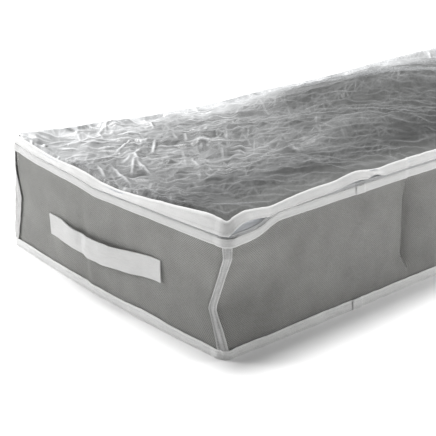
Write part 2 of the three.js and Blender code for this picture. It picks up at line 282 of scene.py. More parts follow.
def plain_wall(side, along, length):
    """The flat walls with rounded corners: the place at that distance along a side, and the way outwards."""
    before, after = along, length - along
    turn = np.where(before < CORNER_RADIUS, before - CORNER_RADIUS, 0)
    turn = np.where(after < CORNER_RADIUS, CORNER_RADIUS - after, turn)
    angle = (side - 1) * math.pi / 2 + turn / CORNER_RADIUS * math.pi / 4
    normal = np.stack([np.cos(angle), np.sin(angle)], axis=-1)
    starts = np.array([[-1, -1], [1, -1], [1, 1], [-1, 1]])[side] * np.array([HALF_X, HALF_Y])
    ahead = np.array([[1, 0], [0, 1], [-1, 0], [0, -1]])[side]
    place = starts + ahead * np.clip(along, CORNER_RADIUS, length - CORNER_RADIUS)[..., None]
    outward = np.array([[0, -1], [1, 0], [0, 1], [-1, 0]])[side]
    return place - outward * CORNER_RADIUS + normal * CORNER_RADIUS, normal


def carried_by_seams(place, s, z, side):
    """The place, moved in x and y by the bends of the corner seams."""
    reach = np.where(side % 2 == 0, *CORNER_REACH)
    for corner, seam in zip(CORNERS, CORNER_SEAMS):
        heights, xs, ys = zip(*seam)
        pull = np.exp(-((np.abs(past_front_left(s - corner)) / reach) ** 1.5))
        place = place + np.stack([np.interp(z, heights, xs), np.interp(z, heights, ys)], -1) * pull[..., None]
    return place


def on_wall(s, z, out=0.0, folds=True):
    """The points at s round the box, at height z, that far outwards from the cloth, as an array (..., 3)."""
    s, z, out = np.broadcast_arrays(np.asarray(s, float), np.asarray(z, float), np.asarray(out, float))
    s = s % AROUND
    side = np.clip(np.searchsorted(CORNERS, s, side="right") - 1, 0, 3)
    along = s - CORNERS[side]
    length = np.array(SIDE_LENGTHS)[side]
    place, normal = plain_wall(side, along, length)
    bows = np.array(WALL_BOWS)[side]
    share = along / length
    height = np.clip(z / 0.16, 0, 1.1)
    bow = 4 * share * (1 - share) * (bows[..., 0] + (bows[..., 1] - bows[..., 0]) * height)
    if folds:
        bow = bow + wall_folds(s, z)
    place = carried_by_seams(place + normal * (bow + out)[..., None], s, z, side)
    return np.concatenate([place, z[..., None]], axis=-1)


# ---- meshes ----

def make_object(name, points, faces, material, uvs=None):
    mesh = bpy.data.meshes.new(name)
    faces = faces.tolist() if isinstance(faces, np.ndarray) else faces
    mesh.from_pydata(np.asarray(points).tolist(), [], faces)
    mesh.materials.append(material)
    if uvs is not None:
        layer = mesh.uv_layers.new(name="cloth")
        corner_vertices = np.empty(len(mesh.loops), int)
        mesh.loops.foreach_get("vertex_index", corner_vertices)
        layer.data.foreach_set("uv", np.asarray(uvs, float)[corner_vertices].ravel())
    mesh.shade_smooth()
    obj = bpy.data.objects.new(name, mesh)
    bpy.context.collection.objects.link(obj)
    return obj


def grid_faces(rows, columns, wrap_rows=False, wrap_columns=False):
    r = np.arange(rows if wrap_rows else rows - 1)
    c = np.arange(columns if wrap_columns else columns - 1)
    r, c = np.meshgrid(r, c, indexing="ij")
    r, c = r.ravel(), c.ravel()
    nr, nc = (r + 1) % rows, (c + 1) % columns
    return np.stack([r * columns + c, nr * columns + c, nr * columns + nc, r * columns + nc], axis=1)


def grid_map(along, across):
    """The map of a grid, in metres along its rows and across its columns."""
    return np.stack(np.broadcast_arrays(along, across), axis=-1)


def grid_normals(points):
    du = np.gradient(points, axis=0)
    dv = np.gradient(points, axis=1)
    normal = np.cross(du, dv)
    return normal / np.maximum(np.linalg.norm(normal, axis=-1, keepdims=True), 1e-12)


def sheet_object(name, points, uvs, thickness, material):
    """A closed sheet from a grid of its outer face, with its inner face that thickness behind it."""
    rows, columns = points.shape[:2]
    behind = points - grid_normals(points) * thickness
    count = rows * columns
    front = grid_faces(rows, columns)
    faces = [front, front[:, ::-1] + count]
    ring = np.concatenate([
        np.arange(columns - 1),
        np.arange(rows - 1) * columns + columns - 1,
        (rows - 1) * columns + np.arange(columns - 1, 0, -1),
        np.arange(rows - 1, 0, -1) * columns,
    ])
    following = np.roll(ring, -1)
    faces.append(np.stack([ring, following, following + count, ring + count], axis=1))
    both = np.concatenate([points.reshape(-1, 3), behind.reshape(-1, 3)])
    obj = make_object(name, both, np.concatenate(faces), material, np.tile(uvs.reshape(-1, 2), (2, 1)))
    obj.data.set_sharp_from_angle(angle=math.radians(60))
    return obj


def swept_object(name, rings, across, material, closed=True):
    """A solid through rings of points: (ring, point on its outline, 3). Its map is in metres."""
    count, around = rings.shape[:2]
    faces = grid_faces(count, around, wrap_rows=closed, wrap_columns=True).tolist()
    steps = np.linalg.norm(np.diff(rings.mean(axis=1), axis=0), axis=1)
    along = np.concatenate([[0], np.cumsum(steps)])
    uvs = grid_map(along[:, None], across[None, :]).reshape(-1, 2)
    if not closed:
        faces.append(list(range(around)))
        faces.append(list(range(count * around - 1, (count - 1) * around - 1, -1)))
    return make_object(name, rings.reshape(-1, 3), faces, material, uvs)


def outward_faces(obj):
    mesh = bmesh.new()
    mesh.from_mesh(obj.data)
    bmesh.ops.recalc_face_normals(mesh, faces=mesh.faces)
    mesh.to_mesh(obj.data)
    mesh.free()
    return obj


# The outline of a folded tape: (across, through), across from 0 at its foot to 1 at its top.
TAPE_OUTLINE = np.array(
    [(0.0, 0.3), (0.0, 0.7), (0.04, 0.98), (0.12, 1.1), (0.3, 1.0), (0.6, 1.0), (0.82, 1.08), (0.95, 1.0)]
    + [(1.0, 0.6), (1.0, 0.3), (0.92, -0.05), (0.5, 0.0), (0.08, 0.0)]
)
TAPE_MAP = 0.012  # a tape's map goes across it from 0 to this, whatever its width


def loop_noise(s, scale, octaves, seed):
    """Noise that meets itself after one turn round the box."""
    turn = 2 * math.pi * s / AROUND
    circle = np.stack([np.cos(turn), np.sin(turn), 0 * turn], axis=1) * AROUND / (2 * math.pi)
    return fractal(circle, scale, octaves, seed)


def tape_on_wall(name, s, foot, width, out, lean, material, join=None):
    """A folded tape that follows the walls. foot, width and out say how its lower edge runs, as numbers or
    functions of s. Its top is lean further out than its foot. Its ends lap over each other at join."""
    across, through = TAPE_OUTLINE.T
    if join is not None:
        s = with_join(s, join)
    foot, width, out = (line(s) if callable(line) else np.full(s.shape, line) for line in (foot, width, out))
    if join is not None:
        out = out + JOIN_RISE * ((s - join) % AROUND < JOIN_LAP)
    waves = 0.0005 * loop_noise(s, 0.012, 2, 5) + 0.0008 * loop_noise(s, 0.05, 2, 6)
    z = foot[:, None] + (width + waves)[:, None] * across
    away = (out + 0.6 * waves)[:, None] + lean * across + TAPE * through
    rings = on_wall(s[:, None], z, away)
    return outward_faces(swept_object(name, rings, across * TAPE_MAP, material))


def over_corner_tapes(s):
    """How far out a binding lies, so that it passes over the corner tapes' ends."""
    from_corner = np.abs(s[:, None] - np.append(CORNERS, CORNERS + AROUND)[None]).min(axis=1)
    return 0.0004 + 0.0014 * np.exp(-((from_corner / 0.014) ** 4))


def with_join(s, join):
    """s with places just before and after both edges of a binding's lap."""
    first = s[0]
    edges = [join + edge + side for edge in (0, JOIN_LAP) for side in (-1e-4, 1e-4)]
    return np.unique(np.append(s, [(edge - first) % AROUND + first for edge in edges]))


def around_box():
    """Places all round the box from its back right corner, closer together at its corners."""
    stops = []
    for start, length in zip(CORNERS[:-1], SIDE_LENGTHS):
        near = np.linspace(0, 0.03, 16, endpoint=False)
        plain = np.linspace(0.03, length - 0.03, int((length - 0.06) / STEP), endpoint=False)
        last = np.linspace(length - 0.03, length, 16, endpoint=False)
        stops.append(start + np.concatenate([near, plain, last]))
    return np.sort((np.concatenate(stops) - CORNERS[2]) % AROUND) + CORNERS[2]


def along_zip():
    """Places along the zip, from its left end round the front to its right end."""
    left_end = AROUND - (ZIP_END_Y + HALF_Y)
    right_end = AROUND + CORNERS[1] + (ZIP_END_Y + HALF_Y)
    stops = np.linspace(left_end, right_end, int((right_end - left_end) / STEP))
    corners = [AROUND + corner + np.linspace(-0.025, 0.025, 25) for corner in CORNERS[:2]]
    return np.unique(np.round(np.concatenate([stops] + corners), 5))


# ---- materials ----

class Nodes:
    """A short way to write a material's node tree."""

    def __init__(self, name):
        self.material = bpy.data.materials.new(name)
        self.material.use_nodes = True
        self.tree = self.material.node_tree
        self.tree.nodes.clear()
        self.output = self.tree.nodes.new("ShaderNodeOutputMaterial")

    def add(self, kind, inputs=None, **settings):
        node = self.tree.nodes.new(kind)
        for key, value in settings.items():
            setattr(node, key, value)
        for key, value in (inputs or {}).items():
            socket = node.inputs[key]
            if isinstance(value, bpy.types.NodeSocket):
                self.tree.links.new(value, socket)
            else:
                socket.default_value = value
        return node

    def math(self, operation, *values):
        return self.add("ShaderNodeMath", dict(enumerate(values)), operation=operation).outputs[0]

    def plus(self, a, b):
        return self.math("ADD", a, b)

    def minus(self, a, b):
        return self.math("SUBTRACT", a, b)

    def times(self, a, b):
        return self.math("MULTIPLY", a, b)

    def cloth_coordinates(self):
        """Metres along and across the cloth, as two sockets."""
        uv = self.add("ShaderNodeUVMap", uv_map="cloth")
        parts = self.add("ShaderNodeSeparateXYZ", {0: uv.outputs[0]})
        return parts.outputs[0], parts.outputs[1]

    def place(self):
        return self.add("ShaderNodeTexCoord").outputs["Object"]

    def attribute(self, name):
        return self.add("ShaderNodeAttribute", attribute_name=name).outputs["Fac"]

    def noise(self, scale, detail=3.0, roughness=0.55, vector=None):
        inputs = {"Vector": vector or self.place(), "Scale": scale, "Detail": detail, "Roughness": roughness}
        return self.add("ShaderNodeTexNoise", inputs).outputs[0]

    def ramp(self, value, stops):
        node = self.add("ShaderNodeValToRGB", {0: value})
        elements = node.color_ramp.elements
        while len(elements) < len(stops):
            elements.new(0.5)
        for element, (position, colour) in zip(elements, stops):
            element.position = position
            element.color = (*colour, 1)
        return node.outputs[0]

    def waves(self, coordinate, pitch):
        """-1 to 1, once over each pitch."""
        return self.math("SINE", self.times(coordinate, 2 * math.pi / pitch))

    def bump(self, height, distance, strength=1.0, under=None):
        inputs = {"Height": height, "Distance": distance, "Strength": strength}
        if under is not None:
            inputs["Normal"] = under
        return self.add("ShaderNodeBump", inputs).outputs[0]

    def finish(self, **inputs):
        named = {key.replace("_", " "): value for key, value in inputs.items()}
        shader = self.add("ShaderNodeBsdfPrincipled", named)
        self.tree.links.new(shader.outputs[0], self.output.inputs["Surface"])
        return self.material


def scaled(colour, factor):
    return tuple(channel * factor for channel in colour)


def nonwoven_material(name, colour):
    """Spun-bonded cloth: small welded dents like a chequered board, with painted shade in each dent, over
    faint cloudy unevenness.
    """
    n = Nodes(name)
    u, v = n.cloth_coordinates()
    dots = n.times(n.waves(u, NONWOVEN_PITCH), n.waves(v, NONWOVEN_PITCH))
    dents = n.math("SMOOTH_MAX", dots, 0.0, 0.3)
    cloudy = n.noise(24.0, 4.0)
    fibres = n.noise(700.0, 2.0)
    shade = n.plus(n.times(cloudy, 0.5), n.times(fibres, 0.35))
    # Painted shade: the colour is darker in each welded dent.
    shade = n.minus(shade, n.times(dents, n.times(cloudy, 0.85)))
    tone = n.ramp(shade, [(0.0, scaled(colour, 0.42)), (0.55, scaled(colour, 1.26))])
    welded = n.bump(dents, 0.0012, 1.0)
    rough = n.bump(fibres, 0.0003, 0.6, under=welded)
    return n.finish(Base_Color=tone, Roughness=0.88, Sheen_Weight=0.12, Sheen_Roughness=0.5, Normal=rough)


def tape_material(name, colour, mottled, pitch=0.0011, bound=False):
    """Ribbed tape with soft creases along it. A bound tape has pale folded edges and a line of stitches."""
    n = Nodes(name)
    u, v = n.cloth_coordinates()
    ribs = n.times(n.waves(u, pitch), n.waves(v, pitch * 0.8))
    stretched = n.add("ShaderNodeCombineXYZ", {0: n.times(u, 0.16), 1: v})
    creases = n.noise(420.0, 3.0, vector=stretched.outputs[0])
    fuzz = n.noise(800.0, 2.0)
    shade = n.plus(n.times(creases, 0.55), n.times(fuzz, 0.45))
    if bound:
        middle = n.math("ABSOLUTE", n.minus(v, TAPE_MAP / 2))
        past_face = n.minus(n.math("DIVIDE", middle, TAPE_MAP / 2), 0.68)
        edge = n.math("SMOOTH_MAX", past_face, 0.0, 0.1)
        shade = n.plus(shade, n.times(edge, 0.9))
        near_line = n.math("ABSOLUTE", n.minus(middle, TAPE_MAP * 0.27))
        line = n.math("LESS_THAN", near_line, 0.0003)
        stitch = n.times(line, n.math("GREATER_THAN", n.waves(u, 0.0032), -0.35))
        shade = n.minus(shade, n.times(stitch, 0.22))
    tone = n.ramp(shade, [(0.22, scaled(colour, 1 - mottled)), (0.68, scaled(colour, 1 + mottled * 0.5))])
    ribbed = n.bump(ribs, 0.00012, 0.6)
    creased = n.bump(creases, 0.0007, 0.6, under=ribbed)
    if bound:
        creased = n.bump(stitch, 0.0003, 0.8, under=creased)
    return n.finish(Base_Color=tone, Roughness=0.8, Sheen_Weight=0.1, Normal=creased)


def plastic_material(name, colour, roughness):
    n = Nodes(name)
    uneven = n.noise(160.0, 3.0)
    tone = n.ramp(uneven, [(0.3, scaled(colour, 0.93)), (0.7, colour)])
    dulled = n.plus(n.times(uneven, 0.12), roughness)
    return n.finish(Base_Color=tone, Roughness=dulled, Normal=n.bump(uneven, 0.0002, 0.3))


def film_material(name):
    """Clear vinyl: see-through and glossy. It is whitened where it is crumpled, as haze with painted sheen,
    and most along its creases, as a painted highlight. It is darkened beside its creases, as painted shade.
    """
    n = Nodes(name)
    crumpled, creased, shaded = (n.attribute(look) for look in ("crumpled", "creased", "shaded"))
    turned = {"Vector": n.place(), "Rotation": (0, 0, 0.75), "Scale": (0.6, 1.5, 1.0)}
    flow = n.add("ShaderNodeMapping", turned)
    fine = n.add(
        "ShaderNodeTexNoise",
        {"Vector": flow.outputs[0], "Scale": 60.0, "Detail": 2.0, "Roughness": 0.5, "Distortion": 0.3},
        noise_type="RIDGED_MULTIFRACTAL",
    ).outputs[0]
    lines = n.ramp(fine, [(0.72, (0.0,) * 3), (1.0, (1.0,) * 3)])
    cloudy = n.noise(14.0, 3.0, 0.5)
    surface = n.bump(cloudy, 0.0010, 0.5)
    # The haze, with painted sheen on crumpled facets and along the back edge.
    haze_and_sheen = n.times(crumpled, n.math("MULTIPLY_ADD", cloudy, 0.9, -0.05))
    # Painted highlight streaks along fine crinkles.
    highlight_streaks = n.times(lines, n.times(crumpled, FILM_WHITENING["highlight_streaks"]))
    fresnel = n.add("ShaderNodeFresnel", {"IOR": 1.5, "Normal": surface}).outputs[0]
    share = n.plus(n.times(haze_and_sheen, FILM_WHITENING["haze_and_sheen"]), highlight_streaks)
    # Painted highlight along the creases. The painted shade beside them also makes the film less clear there.
    share = n.plus(share, n.times(n.math("MAXIMUM", creased, shaded), FILM_WHITENING["creases"]))
    share = n.plus(share, n.times(fresnel, FILM_WHITENING["fresnel"]))
    share = n.math("MINIMUM", n.plus(share, FILM_WHITENING["everywhere"]), 0.95)
    # Painted shade: the vinyl darkens beside each crease and on some facets.
    tone = n.ramp(shaded, [(0.0, (0.84, 0.85, 0.86)), (0.8, (0.12, 0.12, 0.12))])
    gloss = n.add(
        "ShaderNodeBsdfPrincipled",
        {"Base Color": tone, "Roughness": 0.30, "IOR": 1.45, "Normal": surface},
    )
    clear = n.add("ShaderNodeBsdfTransparent", {"Color": (0.86, 0.865, 0.87, 1)})
    mix = n.add("ShaderNodeMixShader", {0: share, 1: clear.outputs[0], 2: gloss.outputs[0]})
    n.tree.links.new(mix.outputs[0], n.output.inputs["Surface"])
    return n.material


GREY = (0.262, 0.262, 0.250)
WHITE = (0.60, 0.60, 0.595)
grey_cloth = nonwoven_material("grey_nonwoven", GREY)
white_tape = tape_material("white_binding_tape", WHITE, 0.12, bound=True)
# Painted light: the base binding is the same white tape made lighter, for the light that falls on it near the
# floor.
base_tape_painted_light = tape_material("base_binding_tape_painted_light", scaled(WHITE, 1.22), 0.22, bound=True)
corner_tape = tape_material("corner_binding_tape", scaled(WHITE, 0.80), 0.42, bound=True)
hinge_tape = tape_material("hinge_tape", WHITE, 0.12)
white_strap = tape_material("white_strap", scaled(WHITE, 0.90), 0.10, 0.0016)
# Painted shade: the zip tape's faint blue tint stands for the bluish shade in the zip's pocket.
zip_cloth = tape_material("white_zip_tape", (0.60, 0.615, 0.64), 0.12, 0.0008)
coil_plastic = plastic_material("white_coil", (0.60, 0.605, 0.61), 0.35)
enamel = plastic_material("white_enamel", (0.62, 0.62, 0.61), 0.25)
film = film_material("clear_film")


# ---- box ----

def place_piece(obj, body, node):
    """Fixes a piece to its body, and hides the frame's piece. The lid's pieces, sewn to the box at the back,
    only have their place baked in.
    """
    if body == "lid":
        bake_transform(obj)
    else:
        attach(obj, body)
    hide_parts(node)


def add_walls():
    """Each wall stands on the base and reaches up inside the rim binding."""
    margin = 0.0004
    foot = CLOTH * 1.2
    for name, start, length in zip(("front", "right_end", "back", "left_end"), CORNERS, SIDE_LENGTHS):
        s = np.linspace(start + margin, start + length - margin, int(length / 0.0045))
        if name == "front":
            s = np.union1d(s, np.linspace(*PLEAT_GRID))
        s, share = np.meshgrid(s, np.linspace(0, 1, 38), indexing="ij")
        z = foot + share * (rim_foot(s) + 0.8 * RIM_BINDING - foot)
        wall = sheet_object(f"{name}_wall", on_wall(s, z), grid_map(s, z), WALL_THICKNESS, grey_cloth)
        place_piece(wall, "box", f"{name}_panel")


def add_base():
    """The base fills the seam's outline, and lies flat."""
    points = patch_inside_walls(lambda s: on_wall(s, 0.0, -0.0002, folds=False), 150, 64)
    points[..., 2] = CLOTH
    uvs = points[..., :2].copy()
    base = sheet_object("base", points, uvs, CLOTH, grey_cloth)
    place_piece(base, "box", "bottom_panel")


def coons_patch(front, back, left, right):
    """A surface through four edges: front and back run along x, left and right along y."""
    u = np.linspace(0, 1, len(front))[:, None, None]
    v = np.linspace(0, 1, len(left))[None, :, None]
    ruled_v = (1 - v) * front[:, None] + v * back[:, None]
    ruled_u = (1 - u) * left[None] + u * right[None]
    front_corners = (1 - u) * (1 - v) * front[0] + u * (1 - v) * front[-1]
    return ruled_v + ruled_u - (front_corners + (1 - u) * v * back[0] + u * v * back[-1])


def patch_inside_walls(edge, columns, rows):
    """A surface of columns by rows points, whose edge is at edge(s) all round the box."""
    u = np.linspace(0, 1, columns)
    v = np.linspace(0, 1, rows)
    front = edge(CORNERS[0] + u * SIDE_LENGTHS[0])
    back = edge(CORNERS[2] + (1 - u) * SIDE_LENGTHS[2])
    left = edge(CORNERS[3] + (1 - v) * SIDE_LENGTHS[3])
    right = edge(CORNERS[1] + v * SIDE_LENGTHS[1])
    return coons_patch(front, back, left, right)


def add_box_bindings():
    """The base and rim bindings pass over the ends of the corner tapes."""
    s = around_box()
    base = tape_on_wall("base_binding", s, 0.0, base_width, over_corner_tapes, 0.0, base_tape_painted_light, JOIN_ON_BASE)
    place_piece(base, "box", "bottom_binding")
    rim = tape_on_wall(
        "rim_binding_tape", s, rim_foot, RIM_BINDING, over_corner_tapes, -0.0008, white_tape, JOIN_ON_RIM,
    )
    place_piece(rim, "box", "rim_binding")


def add_corner_bindings():
    """A folded tape wraps each corner seam, and is turned a little to one side of it along its length."""
    names = ["front_left", "front_right", "back_right", "back_left"]
    across, through = TAPE_OUTLINE.T
    for index, name in enumerate(names):
        heights = np.linspace(BASE_BINDING * 0.5, float(rim_foot(CORNERS[index])) + 0.004, 72)
        widths = np.interp(heights, *zip(*CORNER_TAPE_WIDTHS[index]))
        turns = np.interp(heights, *zip(*CORNER_TAPE_TURNS[index]))
        widths = widths * (1 + 0.07 * fractal_map(heights, heights * 0, 0.02, 2, 21 + index))
        sideways = turns[:, None] + across[None, :] - 0.5
        s = CORNERS[index] + sideways * widths[:, None]
        uneven = 0.0006 * fractal_map(heights, heights * 0, 0.02, 2, 11 + index)
        out = 0.0003 + TAPE * 0.9 * through[None, :] + uneven[:, None]
        raised_edges = 0.0012 * (2 * across - 1)[None, :] ** 2
        rings = on_wall(s, heights[:, None], out + raised_edges)
        tape = swept_object(f"corner_tape_{name}", rings, across * TAPE_MAP, corner_tape, closed=False)
        place_piece(outward_faces(tape), "box", f"corner_binding_{name}")


# ---- zip ----

def ribbon(name, s, profile, material):
    """A thin strip with its section from profile(s): heights and distances out, each (places, points)."""
    z, out = profile(s)
    across = np.cumsum(np.full(z.shape[1], 0.002))
    face = on_wall(s[:, None], z, out, folds=False)
    return sheet_object(name, face, grid_map(s[:, None], across[None]), ZIP_TAPE_THICKNESS, material)


def flat_profile(foot, top, out):
    """A straight section from foot to top, through the given distances out."""
    share = np.linspace(0, 1, len(out))
    return foot[:, None] + share * (top - foot)[:, None], np.broadcast_to(out, (len(foot), len(out)))


def lower_tape_profile(s):
    return flat_profile(rim_top(s) - 0.007, coil_height(s) - 0.0006, np.linspace(-0.0022, -0.0010, 5))


def upper_tape_profile(s):
    """The tape is tucked into soft lengthwise folds where the zip gapes."""
    share = np.linspace(0, 1, 17)[None, :]
    foot = coil_height(s)[:, None] + 0.0006
    top = lid_foot(s)[:, None] + 0.006
    gape = clamp((top - foot - 0.008) / 0.010)
    from_corner = past_front_left(s)
    at_corner = clamp(from_corner / 0.012) * clamp((CORNER_GAPE_END - from_corner) / 0.01)
    at_join = clamp(1.5 - np.abs(from_corner - JOIN_GAPE) / 0.015)
    pocket = np.maximum(at_corner, at_join)[:, None]
    folds = -0.0034 * np.sin(math.pi * share) + 0.0016 * np.sin(5 * math.pi * share)
    bulge = 0.0034 * np.sin(math.pi * share) + 0.0004 * np.sin(7 * math.pi * share)
    out = -0.0006 - 0.0010 * share + gape * (pocket * folds + (1 - pocket) * bulge)
    return foot + share * (top - foot), out


def coil(name, s, up, material):
    """A row of small loops, each one turn of the coil, above or below the zip's line as up is 1 or -1."""
    places = np.arange(s[0], s[-1], COIL_PITCH)
    middle = on_wall(places, coil_height(places), COIL_OUT, folds=False)
    ahead = on_wall(places + 0.0005, coil_height(places + 0.0005), COIL_OUT, folds=False) - middle
    ahead /= np.linalg.norm(ahead, axis=1, keepdims=True)
    upward = np.array([0.0, 0.0, 1.0])
    outward = np.cross(ahead, upward)
    shares, sizes = np.array(COIL_LEVELS).T[:, None, :, None, None]
    angles = np.linspace(0, 2 * math.pi, COIL_SIDES + 1)[:-1, None]
    centres = (middle + upward * (0.0011 * up))[:, None, None] + outward[:, None, None] * shares * 0.0011
    along = ahead[:, None, None] * (np.cos(angles) * 0.00062) * sizes
    points = (centres + along + upward * (np.sin(angles) * 0.0013) * sizes).reshape(-1, 3)
    ring = np.arange(COIL_SIDES)
    sides = np.roll(grid_faces(len(COIL_LEVELS), COIL_SIDES, wrap_columns=True)[:, ::-1], 1, axis=1)
    loop = [*sides, ring[::-1], ring + (len(COIL_LEVELS) - 1) * COIL_SIDES]
    firsts = range(0, len(points), len(COIL_LEVELS) * COIL_SIDES)
    return make_object(name, points, [(first + face).tolist() for first in firsts for face in loop], material)


def add_zip():
    s = along_zip()
    lower = ribbon("zip_lower_tape", s, lower_tape_profile, zip_cloth)
    place_piece(lower, "box", "zip_tape_lower")
    upper = ribbon("zip_upper_tape", s, upper_tape_profile, zip_cloth)
    place_piece(upper, "lid", "zip_tape_upper")
    lower_coil = coil("zip_lower_coil", s, -1, coil_plastic)
    place_piece(lower_coil, "box", "zip_coil_lower")
    upper_coil = coil("zip_upper_coil", s, 1, coil_plastic)
    place_piece(upper_coil, "lid", "zip_coil_upper")


# ---- lid ----

def film_edge(s):
    """Where the film goes into the top of the lid binding."""
    return on_wall(s, lid_top(s) - 0.002, -0.0050, folds=False)


def heap_height(x, y):
    """The soft rise that the film keeps, above the middle of the lid's edge."""
    rise = clamp((HALF_X - np.abs(x) - 0.04) / 0.50)
    along = rise * rise * (3 - 2 * rise)
    across = 1 - np.abs(y / HALF_Y) ** 2
    lumps = 0.010 * np.sin(x * 9 + 0.6) * np.cos(y * 11 - 0.4) + 0.006 * np.sin(x * 21 + y * 17)
    return (0.040 * along + lumps * clamp(2 * rise)) * clamp(across)


def soft_heap(start):
    """What the film falls on: a little lower than the heap that it keeps."""
    points = start.copy()
    points[..., 2] += heap_height(start[..., 0], start[..., 1]) - 0.006
    heap = make_object("heap_for_simulation", points.reshape(-1, 3), grid_faces(*start.shape[:2]), film)
    heap.modifiers.new("Collision", "COLLISION")
    heap.collision.thickness_outer = 0.002
    heap.collision.cloth_friction = 12
    return heap


def loose_film(start):
    """The film as a cloth that is a little larger than its frame, sewn down round its edge."""
    columns, rows = start.shape[:2]
    begin = start.copy()
    begin[..., 2] += heap_height(start[..., 0], start[..., 1]) * 1.05 + 0.004
    edge = np.zeros((columns, rows), bool)
    edge[[0, -1], :] = True
    edge[:, [0, -1]] = True
    begin[edge] = start[edge]
    jitter = 0.0009 * fractal(begin.reshape(-1, 3), 0.02, 3, 31).reshape(columns, rows)
    begin[..., 2] += np.where(edge, 0, jitter)
    sheet = make_object("film_for_simulation", begin.reshape(-1, 3), grid_faces(columns, rows), film)
    pinned = sheet.vertex_groups.new(name="edge")
    pinned.add(np.flatnonzero(edge.ravel()).tolist(), 1.0, "REPLACE")
    cloth = sheet.modifiers.new("Cloth", "CLOTH")
    for name, value in FILM_CLOTH.items():
        setattr(cloth.settings, name, value)
    cloth.settings.vertex_group_mass = "edge"
    cloth.collision_settings.distance_min = 0.002
    cloth.collision_settings.use_self_collision = False
    cloth.point_cache.frame_start = 1
    cloth.point_cache.frame_end = SIMULATED_FRAMES
    return sheet


def simulate_film(start):
    """The film crumples as it falls on a soft heap. Only its points are kept."""
    heap = soft_heap(start)
    sheet = loose_film(start)
    scene = bpy.context.scene
    for number in range(1, SIMULATED_FRAMES + 1):
        scene.frame_set(number)
    result = sheet.evaluated_get(bpy.context.evaluated_depsgraph_get())
    points = np.empty(start.size)
    result.data.vertices.foreach_get("co", points)
    scene.frame_set(1)
    for obj in (sheet, heap):
        mesh = obj.data
        bpy.data.objects.remove(obj)
        bpy.data.meshes.remove(mesh)
    return points.reshape(start.shape)


def refined(points):
    """The same surface with twice as many cells each way."""
    for axis in (0, 1):
        points = np.moveaxis(points, axis, 0)
        middle = (points[:-1] + points[1:]) / 2
        curve = np.zeros_like(middle)
        curve[1:-1] = (points[1:-2] + points[2:-1] - points[:-3] - points[3:]) / 16
        fine = np.empty((2 * len(points) - 1, *points.shape[1:]))
        fine[::2] = points
        fine[1::2] = middle + curve
        points = np.moveaxis(fine, 0, axis)
    return points


def crumpled_share(x, y):
    """How crumpled the film is, 0 to 1: most near its left end, and in patches further along."""
    from_left, from_front = x + HALF_X, y + HALF_Y
    patches = 0.5 + 0.7 * fractal_map(x, y, 0.17, 2, 43)
    left = np.exp(-(((from_left - 0.10) / 0.25) ** 2))
    clear_of_front = clamp((from_front - 0.05) / 0.20)
    far = clamp((from_front - 0.27) / 0.14)
    elsewhere = clamp(patches) * (0.10 + 0.24 * clear_of_front + 0.45 * far)
    return clamp(left * (0.25 * far + clear_of_front) + (1 - left) * elsewhere)


def sheen_and_haze_share(x, y):
    """How much whiter still the film is, along its back edge and in its back left corner: partly haze, partly
    painted sheen.
    """
    from_left, from_back = x + HALF_X, HALF_Y - y
    corner = 0.9 * np.exp(-((from_left / 0.07) ** 2)) * clamp((0.16 - from_back) / 0.08)
    back = 1.3 * np.exp(-((from_back / 0.07) ** 2))
    return np.maximum(corner, back)


def scattered_knots(places, rng):
    """A square grid of points that covers the places, each moved a little at random."""
    low, high = np.floor(places.min(axis=0)) - 1, np.ceil(places.max(axis=0)) + 2
    columns, rows = np.meshgrid(np.arange(low[0], high[0]), np.arange(low[1], high[1]))
    knots = np.stack([columns.ravel(), rows.ravel()], axis=1)
    return knots + rng.uniform(-0.45, 0.45, knots.shape)


def triangle_shares(places, corners):
    """Each place's share of the three corners of its triangle, and twice that triangle's area."""
    first, second = corners[:, 1] - corners[:, 0], corners[:, 2] - corners[:, 0]
    offset = places - corners[:, 0]
    area = first[:, 0] * second[:, 1] - first[:, 1] * second[:, 0]
    shares = np.empty((len(places), 3))
    shares[:, 1] = (offset[:, 0] * second[:, 1] - offset[:, 1] * second[:, 0]) / area
    shares[:, 2] = (first[:, 0] * offset[:, 1] - first[:, 1] * offset[:, 0]) / area
    shares[:, 0] = 1 - shares[:, 1] - shares[:, 2]
    return shares, area


def folded_planes(x, y, angle, size, stretch, seed):
    """Flat triangles that meet in straight creases, longer along an angle. Gives their height, -1 to 1,
    how near a crease is, 0 to 1, and a shade for each."""
    rng = np.random.default_rng(seed)
    along = (x * math.cos(angle) + y * math.sin(angle)) / (size * stretch)
    across = (y * math.cos(angle) - x * math.sin(angle)) / size
    places = np.stack([along.ravel(), across.ravel()], axis=1)
    knots = scattered_knots(places, rng)
    heights = rng.uniform(-1, 1, len(knots))
    triangles = delaunay_2d_cdt([Vector(knot) for knot in knots], [], [], 0, 1e-6)[2]
    tree = BVHTree.FromPolygons([(*knot, 0) for knot in knots], triangles)
    found = np.array([tree.find_nearest((*place, 0))[2] for place in places])
    chosen = np.array(triangles)[found]
    corners = knots[chosen]
    shares, area = triangle_shares(places, corners)
    height = (shares * heights[chosen]).sum(axis=1)
    sides = np.linalg.norm(np.roll(corners, -1, axis=1) - np.roll(corners, -2, axis=1), axis=2)
    from_crease = (shares * np.abs(area)[:, None] / sides).min(axis=1) * size
    near = clamp(1 - from_crease / CREASE_WIDTH)
    shade = rng.random(len(triangles))[found]
    return height.reshape(x.shape), near.reshape(x.shape), shade.reshape(x.shape)


def value_at(values, place):
    """The value of a grid over the film, at the point nearest to a place."""
    column = int(round((place[0] + HALF_X) / (2 * HALF_X) * (values.shape[0] - 1)))
    row = int(round((place[1] + HALF_Y) / (2 * HALF_Y) * (values.shape[1] - 1)))
    return values[min(max(column, 0), values.shape[0] - 1), min(max(row, 0), values.shape[1] - 1)]


